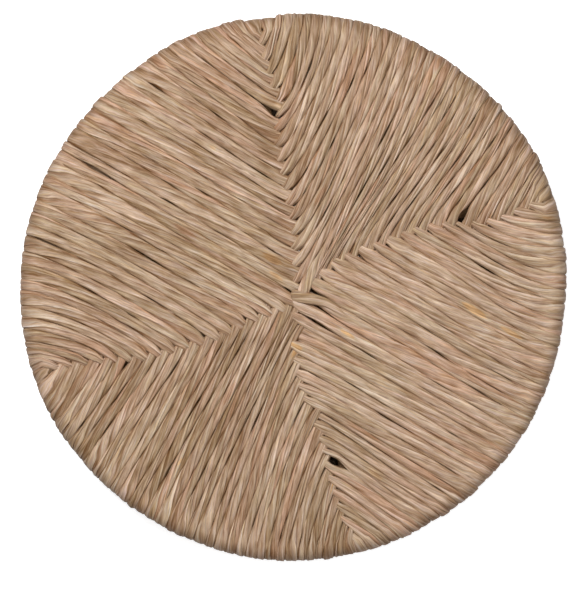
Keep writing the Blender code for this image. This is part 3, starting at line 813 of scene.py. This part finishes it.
def build_sector(sector):
    low, high, lean = SECTORS[sector]
    a, b = sector_angles(sector)
    share = jittered(CORDS, 0.16) / CORDS
    theta = a + (b - a) * share + np.interp(share, *zip(*RIM_SHIFT[sector]))
    edges = [Edge(sector, e, theta[e]) for e in range(CORDS + 1)]
    EDGES[sector] = edges
    make = MAKE[sector]
    seed = {"northeast": 11, "northwest": 23, "southwest": 37, "southeast": 53}[sector]
    holes = gaps_for(sector, edges, np.random.default_rng(seed + 7000))
    for band in range(CORDS // BAND):
        builder = Builder()
        for j in range(band * BAND, band * BAND + BAND):
            r = np.random.default_rng(seed * 1000 + j)
            left, right = edges[j], edges[j + 1]
            run = (left.run + right.run) / 2
            over = OVER[high if j >= HALF else low] == sector
            if (high if j >= HALF else low) == "south" and FLIPPED[min(j, CORDS - 1 - j)]:
                over = not over
            # on the underside the cords lie the other way, under and over
            ext_over, ext_under = r.uniform(1.6, 2.8) * MM, r.uniform(-0.9, 0.2) * MM
            if sector == "southwest" and j in (29, 30):  # drawn back from the gap at the seam
                ext_under -= 3.4 * MM
            t_end = max(0.25, 1 + (ext_over if over else ext_under) / run)
            ext_under = max(ext_under, -0.9 * MM)
            b_end = max(0.25, 1 + (ext_under if over else ext_over) / run)
            n_t = max(6, int(run / (2.3 * MM)) + 1)
            tt = np.linspace(t_end, 0, n_t)
            wrap = np.linspace(0, 1, 17)[1:-1]
            n_b = max(5, int(run / (4.0 * MM)) + 1)
            tb = np.linspace(0, b_end, n_b)
            pl = path_3d(left, tt, wrap, tb, run)
            pr = path_3d(right, tt, wrap, tb, run)
            centre = (pl + pr) / 2
            n = len(centre)
            # outward normals
            radial = unit(np.column_stack([centre[:, :2], np.zeros(n)]))
            roll = (ROLL_R - H) * math.pi / 2
            sw = wrap * WRAP_LEN
            f = np.where(sw < roll, sw / roll * math.pi / 2,
                         np.where(sw > WRAP_LEN - roll, math.pi - (WRAP_LEN - sw) / roll * math.pi / 2, math.pi / 2))
            ang = np.concatenate([np.zeros(n_t), f, np.full(n_b, math.pi)])
            normal = radial * np.sin(ang)[:, None] + np.array([0, 0, 1.0]) * np.cos(ang)[:, None]
            tangent = unit(np.gradient(centre, axis=0))
            normal = unit(normal - tangent * (normal * tangent).sum(1, keepdims=True))
            side = np.cross(tangent, normal)
            w = np.abs(((pr - pl) * side).sum(1)) / 2
            w = np.maximum(w, 1.3 * MM)
            s = np.concatenate([[0], np.cumsum(np.linalg.norm(np.diff(centre, axis=0), axis=1))])
            w = w * (1.04 + np.clip(wander(r, s, 30 * MM, 0.035), -0.07, 0.07))
            round_rim = np.concatenate([smooth(1 - tt / 0.12), np.ones(len(wrap)), smooth(1 - tb / 0.12)])
            w = w * (1 + 0.07 * round_rim) * (1.12 if j in (0, CORDS - 1) else 1.0)
            power = 0.75 - 0.22 * round_rim
            h = H * (1 + wander(r, s, 60 * MM, 0.05))
            # height wandering, and the over-and-under at the seams
            lift = wander(r, s, 50 * MM, 0.22 * MM)
            for from_end, is_over in ((s, over), (s[-1] - s, not over)):
                lift = lift + (0.75 * MM if is_over else -1.1 * MM) * np.exp(-from_end / (6 * MM))
                if is_over:
                    w = w * (1 - 0.30 * np.exp(-(from_end / (2.4 * MM)) ** 1.5))
            if sector == "northeast" and j == HALF:  # the last cord to be laid stands a little proud
                w = np.maximum(w, 3.7 * MM * smooth(1.6 - s / (30 * MM)))
                lift = lift + 1.0 * MM * np.exp(-s / (16 * MM))
                centre[:, :2] += np.array([2.0, -2.0]) * MM * np.exp(-s / (15 * MM))[:, None]
            if sector == "southeast" and j == HALF:  # starts beneath the finishing loop
                w = w * (0.55 + 0.45 * smooth((s - 12 * MM) / (26 * MM)))
                lift = lift - 1.2 * MM * (1 - smooth((s - 8 * MM) / (26 * MM)))
            centre = centre + normal * lift[:, None]
            centre, normal, w, h = cord_end(centre, normal, w, h, 2.6 * MM)
            c2, n2, w2, h2 = cord_end(flip_z(centre[::-1]), normal[::-1] * np.array([1, 1, -1]), w[::-1], h[::-1],
                                      2.6 * MM)
            centre, normal, w, h = flip_z(c2)[::-1], n2[::-1] * np.array([1, 1, -1]), w2[::-1], h2[::-1]
            power = np.concatenate([np.full(7, 0.78), power, np.full(7, 0.78)])
            rim_shade = 0.17 * smooth((np.linalg.norm(centre[:, :2], axis=1) - 169.5 * MM) / (6 * MM))  # painted shade: darker toward the rolled rim

            def push(co, j=j):
                flat = co.reshape(-1, 3)
                for hole in holes:
                    if abs(hole.e - 0.5 - j) > 1.6:
                        continue
                    near = np.linalg.norm(flat[:, :2] - hole.at, axis=1) < 2.6 * hole.length + 3 * hole.width
                    near &= flat[:, 2] > SEAT_T / 2
                    if near.any():
                        flat[near, :2] = hole.push(flat[near, :2], 1.0 if j >= hole.e else -1.0)
                return flat.reshape(co.shape)

            blades = int(r.integers(make["blades"][0], make["blades"][1] + 1))
            builder.strand(centre, normal, w, h, r, blades, r.uniform(*make["turn"]) * MM,
                           make["tone"] + r.normal(0, 0.04), make["step"] * r.uniform(0.8, 1.25), power=power,
                           push=push, hue_mean=make["hue"], spread=make["spread"], rim_shade=rim_shade, shade_strength=make["side_shade"])
        name = f"rush_cords_{sector}_{band + 1}"
        obj = builder.mesh(name, RUSH)
        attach(obj, "root")
        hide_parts(f"rush_band_{sector}_{band + 1}")


for _sector in SECTORS:
    build_sector(_sector)


# ------------------------------------------------------------------ inside the seat, and the finishing loop
def build_crossings(sector):
    """The runs that carry the cord across from seam to seam between the two faces."""
    low, high, lean = SECTORS[sector]
    lo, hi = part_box(f"crossing_cords_{sector}")
    z = (lo[2] + hi[2]) / 2
    builder = Builder(lanes=13)
    r = np.random.default_rng(900 + int(lean))
    count = 13
    for k in range(count):
        at = 0.235 + (0.80 - 0.235) * k / (count - 1)
        ends = []
        for seam, turn in ((low, 1.0), (high, -1.0)):
            p = along(CURVES[seam], at)
            way = unit(along(CURVES[seam], at + 0.02) - along(CURVES[seam], at - 0.02))
            ends.append(p + turn * np.array([way[1], -way[0]]) * 3.4 * MM)
        length = float(np.linalg.norm(ends[1] - ends[0]))
        t = np.linspace(0, 1, max(8, int(length / (4 * MM))))
        xy = ends[0] + (ends[1] - ends[0]) * t[:, None]
        centre = np.column_stack([xy, np.full(len(t), z) + wander(r, t * length, 30 * MM, 0.12 * MM)])
        normal = np.tile([0.0, 0.0, 1.0], (len(t), 1))
        end = np.sqrt(np.clip(np.minimum(t, 1 - t) * length / (2.5 * MM), 0.12, 1.0))
        # the low tone (-0.1) and the darkened inner material are painted shade for cords that lie inside the seat
        builder.strand(centre, normal, 2.6 * MM * end, 2.35 * MM * end, r, 4, r.uniform(55, 80) * MM, -0.1, 0.12)
    obj = builder.mesh(f"crossing_strands_{sector}", SHADED_INNER)
    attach(obj, "root")
    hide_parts(f"crossing_cords_{sector}")


def build_stuffing(node):
    """A pad of dry leaf: rounded over at its edges and ridged where the leaves lie."""
    source = frame["nodes"][node]
    lo, hi = (np.array(p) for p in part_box(node))
    mesh = source.data.copy()
    obj = bpy.data.objects.new(node.replace("stuffing", "stuffing_pad"), mesh)
    bpy.context.scene.collection.objects.link(obj)
    remesh = obj.modifiers.new("remesh", "REMESH")
    remesh.mode = "VOXEL"
    remesh.voxel_size = 1.6 * MM
    soften = obj.modifiers.new("soften", "SMOOTH")
    soften.factor = 0.5
    soften.iterations = 5
    graph = bpy.context.evaluated_depsgraph_get()
    new = bpy.data.meshes.new_from_object(obj.evaluated_get(graph))
    obj.modifiers.clear()
    obj.data = new
    count = len(new.vertices)
    co = np.empty(count * 3, np.float32)
    no = np.empty(count * 3, np.float32)
    new.vertices.foreach_get("co", co)
    new.vertices.foreach_get("normal", no)
    co, no = co.reshape(-1, 3).astype(float), no.reshape(-1, 3).astype(float)
    lean = math.radians(SECTORS[node.split("_")[-1]][2])
    u = co[:, 0] * math.cos(lean) + co[:, 1] * math.sin(lean)
    v = -co[:, 0] * math.sin(lean) + co[:, 1] * math.cos(lean)
    ridges = np.zeros(count)
    r = np.random.default_rng(sum(map(ord, node)))
    for _ in range(7):
        ridges += np.sin(v / (r.uniform(1.3, 3.2) * MM) + 1.8 * np.sin(u / (r.uniform(9, 26) * MM) + r.uniform(0, 6.28)) + r.uniform(0, 6.28))
    co -= no * (0.16 * MM * (1.6 + np.clip(ridges / 2.2, -1.6, 1.6)))[:, None]
    co = np.clip(co, lo, hi)
    new.vertices.foreach_set("co", co.astype(np.float32).ravel())
    new.polygons.foreach_set("use_smooth", np.ones(len(new.polygons), bool))
    new.materials.clear()
    new.materials.append(STUFFING)
    new.update()
    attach(obj, "root")
    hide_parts(node)


for _sector in SECTORS:
    build_crossings(_sector)
    build_stuffing(f"lower_stuffing_{_sector}")
    build_stuffing(f"upper_stuffing_{_sector}")


def build_knot():
    cx, cy = WEAVE_CENTRE
    t = np.linspace(0, 2 * math.pi, 90)
    z = SEAT_T / 2 + 0.6 * MM
    centre = np.column_stack([cx + 3.1 * MM * (np.sin(t) + 2 * np.sin(2 * t)),
                              cy + 3.1 * MM * (np.cos(t) - 2 * np.cos(2 * t)),
                              z + 3.1 * MM * np.sin(3 * t)])
    builder = Builder(lanes=1)
    r = np.random.default_rng(77)
    size = np.full(len(t), 2.0 * MM)
    builder.strand(centre, np.tile([0.0, 0.0, 1.0], (len(t), 1)), size, size, r, 4, 40 * MM, -0.05, 0.12, power=1.0)
    obj = builder.mesh("tied_off_tail", SHADED_INNER)
    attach(obj, "root")
    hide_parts("tie_off_knot")


def build_loop():
    """The last strand's end: a blunt grey-tan loop over the centre that runs on into its sector."""
    pair = EDGES["southeast"][HALF : HALF + 2]
    t = np.linspace(1.0, 1.0 - 52 * MM / pair[0].run, 40)
    middle = swell((pair[0].plan(t) + pair[1].plan(t)) / 2)
    run = np.concatenate([[0], np.cumsum(np.linalg.norm(np.diff(middle, axis=0), axis=1))])
    start, way = np.array([-1.6, -5.0]) * MM, polar(1.0, -12.0)
    d = run + 8.6 * MM  # distance from the blunt end
    first = np.linspace(0.0, 8.0, 8)[:, None] * MM
    joined = smooth(run / (34 * MM))[:, None]
    xy = (start + way * d[:, None]) * (1 - joined) + middle * joined
    xy = np.concatenate([start + way * first, xy])
    d = np.concatenate([first[:, 0], d])
    t = np.concatenate([np.ones(len(first)), t])
    base = SEAT_T - H + CROWN * np.sin(np.pi * t) * (1 - 0.35 * t) + CENTRE_LIFT
    rise = 2.5 * MM - 2.2 * MM * smooth((d - 6 * MM) / (24 * MM)) - 1.5 * MM * smooth((d - 34 * MM) / (24 * MM)) - 1.2 * MM * np.exp(-d / (1.6 * MM))
    centre = np.column_stack([xy, base + rise])
    tip = np.sqrt(np.clip(1 - (1 - np.minimum(d / (3.0 * MM), 1)) ** 2, 0.20, 1.0))
    w = (3.8 * MM - 1.0 * MM * smooth((d - 8 * MM) / (20 * MM)) - 0.5 * MM * smooth((d - 36 * MM) / (22 * MM))) * tip
    h = 2.8 * MM * tip
    builder = Builder(lanes=1)
    r = np.random.default_rng(5)
    builder.strand(centre, np.tile([0.0, 0.0, 1.0], (len(t), 1)), w, h, r, 5, 150 * MM, -0.03, 0.08, hue_mean=0.54, spread=0.35)
    obj = builder.mesh("finishing_strand_loop", RUSH)
    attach(obj, "root")
    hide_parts("finishing_loop")


build_knot()
build_loop()

# ------------------------------------------------------------------ the rest of the frame
for _node, _obj in frame["nodes"].items():
    if _node.startswith("hoop_arc"):
        _mat = BEECH
    elif _node.startswith("joint_dowel"):
        _mat = DOWEL
    elif _node == "strand_tack":
        _mat = STEEL
    else:
        continue
    for _slot in _obj.material_slots:
        _slot.material = _mat

# ------------------------------------------------------------------ floor, light and camera
scene = bpy.context.scene
floor_mesh = bpy.data.meshes.new("floor")
S = 3.0
floor_mesh.from_pydata([(-S, -S, -0.0006), (S, -S, -0.0006), (S, S, -0.0006), (-S, S, -0.0006)], [], [(0, 1, 2, 3)])
floor = bpy.data.objects.new("floor", floor_mesh)
scene.collection.objects.link(floor)
floor_mat, floor_tree, floor_bsdf = nodes_for("pale_floor")
floor_bsdf.inputs["Base Color"].default_value = (0.9, 0.9, 0.9, 1)
floor_bsdf.inputs["Roughness"].default_value = 0.9
floor_bsdf.inputs["Emission Color"].default_value = (1, 1, 1, 1)
floor_bsdf.inputs["Emission Strength"].default_value = 0.62
floor_mesh.materials.append(floor_mat)
floor.visible_diffuse = False  # lights the camera's view of it, not the seat's edge from below

world = bpy.data.worlds.new("studio")
world.use_nodes = True
_tree = world.node_tree
_sky = _tree.nodes["Background"]
_sky.inputs["Strength"].default_value = 1.0
_way = _tree.nodes.new("ShaderNodeTexCoord")
_up = _tree.nodes.new("ShaderNodeSeparateXYZ")
_tree.links.new(_way.outputs["Generated"], _up.inputs[0])
# light from overhead, dim from the sides, with a pale backdrop at the horizon
_height = math_node(_tree, "MULTIPLY_ADD", _up.outputs["Z"], 0.5)
_tree.nodes[-1].inputs[2].default_value = 0.5
_tree.links.new(ramp(_tree, _height, [
    (k / 2 + 0.5, (g, g, g)) for k, g in ((-0.06, 0.08), (-0.035, 0.97), (0.09, 0.97), (0.15, 0.12), (0.5, 0.28), (1.0, 0.84))]),
    _sky.inputs["Color"])
scene.world = world


def area(name, location, size, power, colour=(1, 1, 1)):
    data = bpy.data.lights.new(name, "AREA")
    data.shape = "DISK"
    data.size = size
    data.energy = power
    data.color = colour
    obj = bpy.data.objects.new(name, data)
    obj.location = location
    direction = np.array([0, 0, 0.02]) - np.array(location)
    from mathutils import Vector
    obj.rotation_euler = Vector(direction).to_track_quat("-Z", "Y").to_euler()
    scene.collection.objects.link(obj)


area("key", (-0.65, 1.05, 1.6), 0.8, 32.0)
area("fill", (1.1, -0.5, 1.6), 1.2, 5.0)

cam = bpy.data.cameras.new("camera")
cam.lens = 200.0
cam.sensor_width = 36.0
cam.sensor_fit = "AUTO"
cam.clip_end = 20.0
camera = bpy.data.objects.new("camera", cam)
camera.location = (-0.0004, -0.0056, 0.020 + 2.1622)
camera.rotation_euler = (0.0, 0.0, 0.0)
scene.collection.objects.link(camera)
scene.camera = camera
scene.view_settings.view_transform = "Standard"
scene.view_settings.look = "None"
